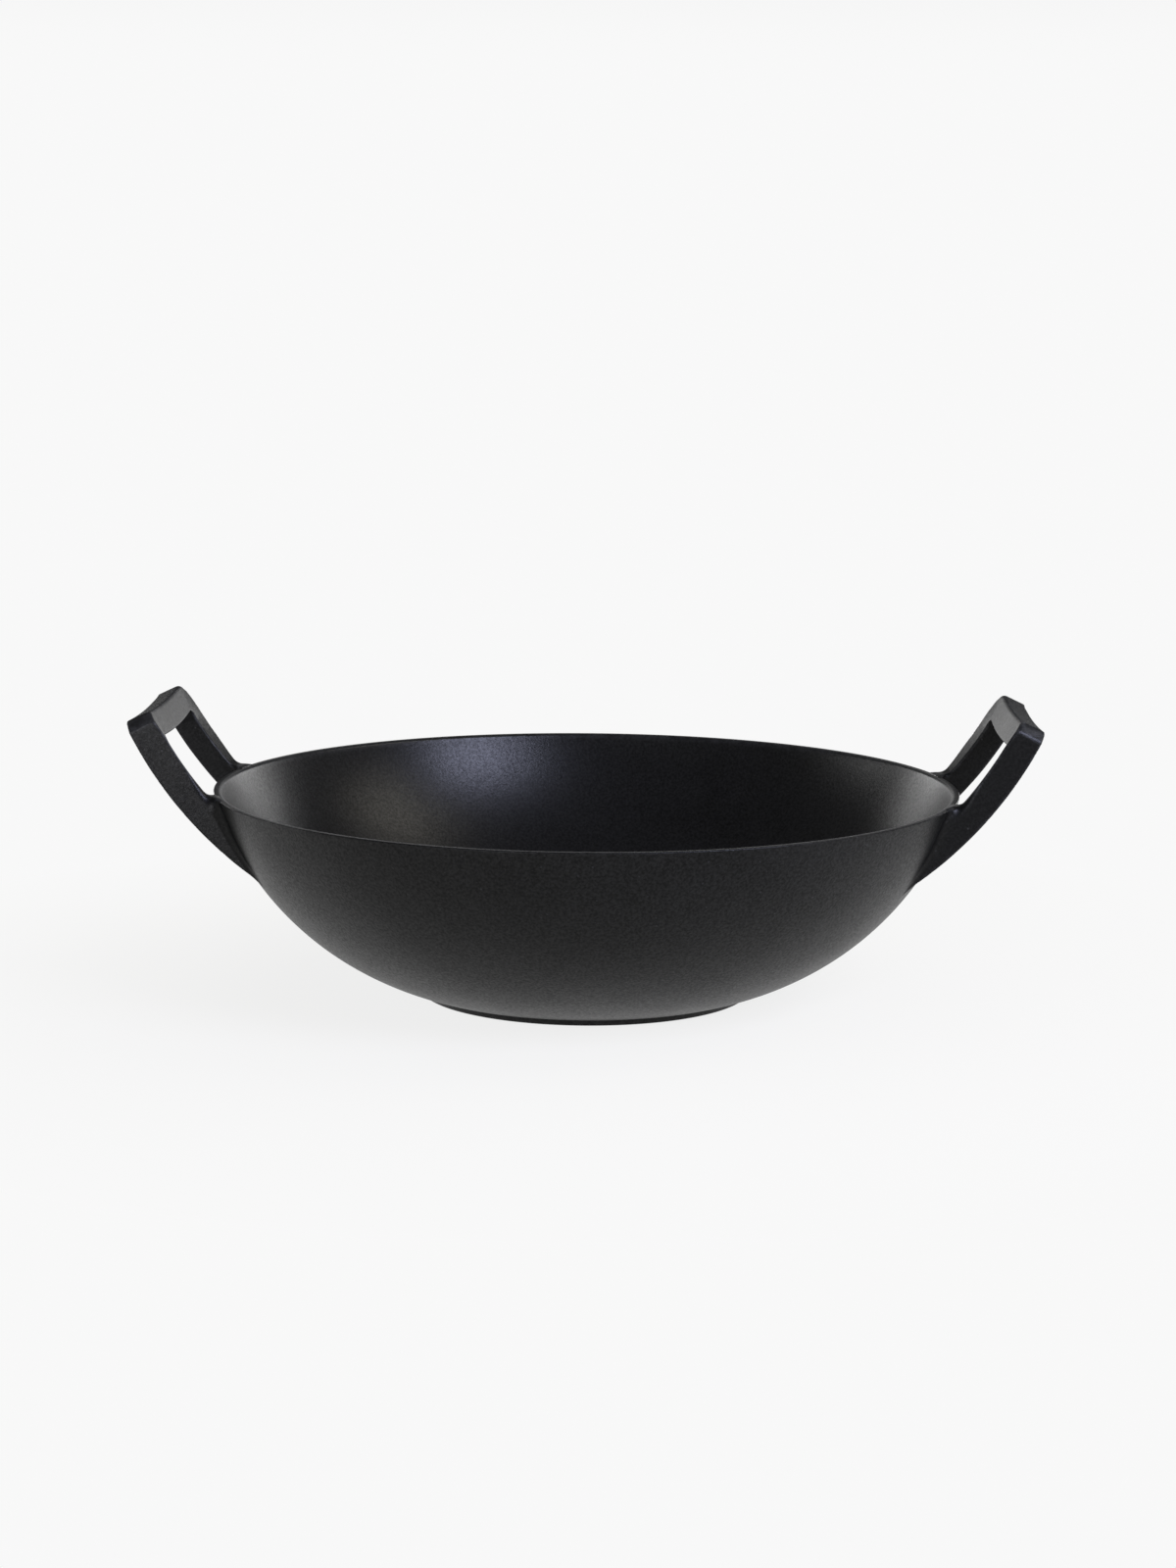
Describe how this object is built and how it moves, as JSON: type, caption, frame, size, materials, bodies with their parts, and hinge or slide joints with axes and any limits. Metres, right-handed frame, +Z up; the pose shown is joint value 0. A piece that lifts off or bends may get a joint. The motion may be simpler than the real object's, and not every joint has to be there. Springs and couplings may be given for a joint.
{
  "type": "cast iron wok",
  "caption": "Round cast iron wok with a deep curved bowl, a low flat foot and two upright loop handles with saddle-shaped grips, for frying and stir-frying on a stove.",
  "frame": {"origin": "middle of the underside of the foot, on the surface that the wok stands on", "axes": "+X along the line through both handles, towards the right handle in the picture, +Y away from the viewer and +Z up along the bowl's axis"},
  "size_m": [0.4248, 0.3554, 0.1393],
  "materials": {
    "seasoned_iron": "matt black seasoned cast iron with a fine sand-cast grain and a soft sheen"
  },
  "bodies": {
    "root": {"bowl": "seasoned_iron", "foot": "seasoned_iron", "right_handle_front_arm": "seasoned_iron", "right_handle_rear_arm": "seasoned_iron", "right_handle_grip": "seasoned_iron", "left_handle_front_arm": "seasoned_iron", "left_handle_rear_arm": "seasoned_iron", "left_handle_grip": "seasoned_iron"}
  },
  "joints": []
}
